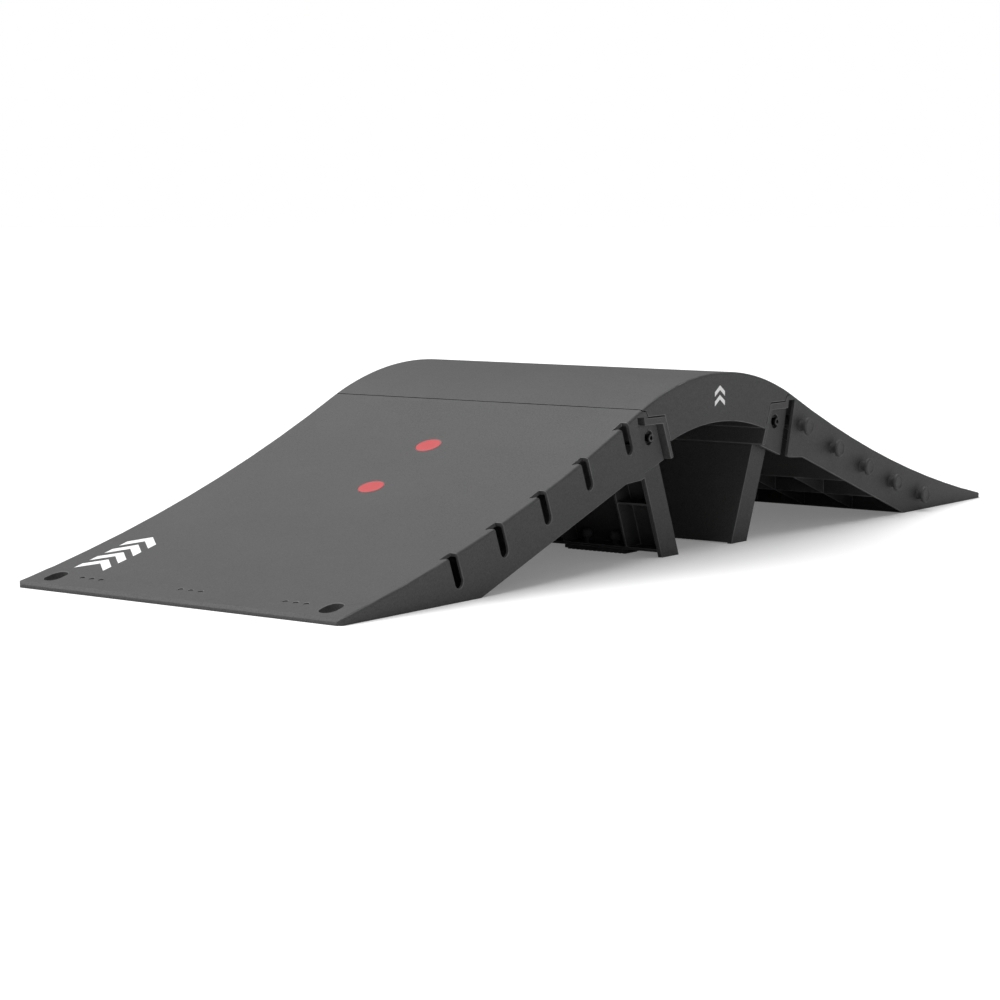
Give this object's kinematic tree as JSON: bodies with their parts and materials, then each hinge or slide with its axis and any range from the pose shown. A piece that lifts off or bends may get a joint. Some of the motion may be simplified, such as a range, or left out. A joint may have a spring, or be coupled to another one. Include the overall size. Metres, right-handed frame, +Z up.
{
  "type": "modular folding street ramp",
  "caption": "Moulded plastic street ramp: two curved kicker ramps on fold-out legs with an arched bridge that drops in between them, link slots and studs along the sides.",
  "frame": {"origin": "on the floor, at the middle of the ramp under the crest of the bridge", "axes": "+X along the ride towards the right ramp's toe, +Y across the ramp towards the left ramp's link studs, +Z up"},
  "size_m": [1.88, 0.637, 0.2824],
  "materials": {
    "moulded_plastic": "fine grained black-grey moulding",
    "rubber": "matte black rubber",
    "steel": "dark zinc plated steel",
    "nylon": "black nylon",
    "marker_red": "satin red disc"
  },
  "bodies": {
    "left_ramp": {"left_deck": "moulded_plastic", "left_hinge_bolt_slot_side": "steel", "left_hinge_sleeve_slot_side": "nylon", "left_hinge_washer_slot_side": "steel", "left_hinge_nut_slot_side": "steel", "left_hinge_bolt_stud_side": "steel", "left_hinge_sleeve_stud_side": "nylon", "left_hinge_washer_stud_side": "steel", "left_hinge_nut_stud_side": "steel", "left_toe_pad_1": "rubber", "left_toe_pad_2": "rubber", "left_toe_pad_3": "rubber", "left_marker_1": "marker_red", "left_marker_2": "marker_red", "left_link_stud_1": "moulded_plastic", "left_link_stud_2": "moulded_plastic", "left_link_stud_3": "moulded_plastic", "left_link_stud_4": "moulded_plastic", "left_link_stud_5": "moulded_plastic"},
    "left_leg": {"left_leg": "moulded_plastic", "left_foot_pad_1": "rubber", "left_foot_pad_2": "rubber"},
    "right_ramp": {"right_deck": "moulded_plastic", "right_hinge_bolt_slot_side": "steel", "right_hinge_sleeve_slot_side": "nylon", "right_hinge_washer_slot_side": "steel", "right_hinge_nut_slot_side": "steel", "right_hinge_bolt_stud_side": "steel", "right_hinge_sleeve_stud_side": "nylon", "right_hinge_washer_stud_side": "steel", "right_hinge_nut_stud_side": "steel", "right_toe_pad_1": "rubber", "right_toe_pad_2": "rubber", "right_toe_pad_3": "rubber", "right_marker_1": "marker_red", "right_marker_2": "marker_red", "right_link_stud_1": "moulded_plastic", "right_link_stud_2": "moulded_plastic", "right_link_stud_3": "moulded_plastic", "right_link_stud_4": "moulded_plastic", "right_link_stud_5": "moulded_plastic"},
    "right_leg": {"right_leg": "moulded_plastic", "right_foot_pad_1": "rubber", "right_foot_pad_2": "rubber"},
    "bridge": {"bridge_deck": "moulded_plastic"}
  },
  "joints": [
    {"name": "left_leg_fold", "type": "hinge", "parent": "left_ramp", "child": "left_leg", "pos_m": [-0.19, 0, 0.192], "axis": [0, 1, 0], "range_deg": [0, 92.4]},
    {"name": "right_leg_fold", "type": "hinge", "parent": "right_ramp", "child": "right_leg", "pos_m": [0.19, 0, 0.192], "axis": [0, -1, 0], "range_deg": [0, 92.4]},
    {"name": "bridge_lift", "type": "slide", "parent": "left_ramp", "child": "bridge", "axis": [0, 0, 1], "range_m": [0, 0.15]},
    {"name": "right_ramp_part", "type": "slide", "parent": "left_ramp", "child": "right_ramp", "axis": [1, 0, 0], "range_m": [0, 0.2]}
  ]
}
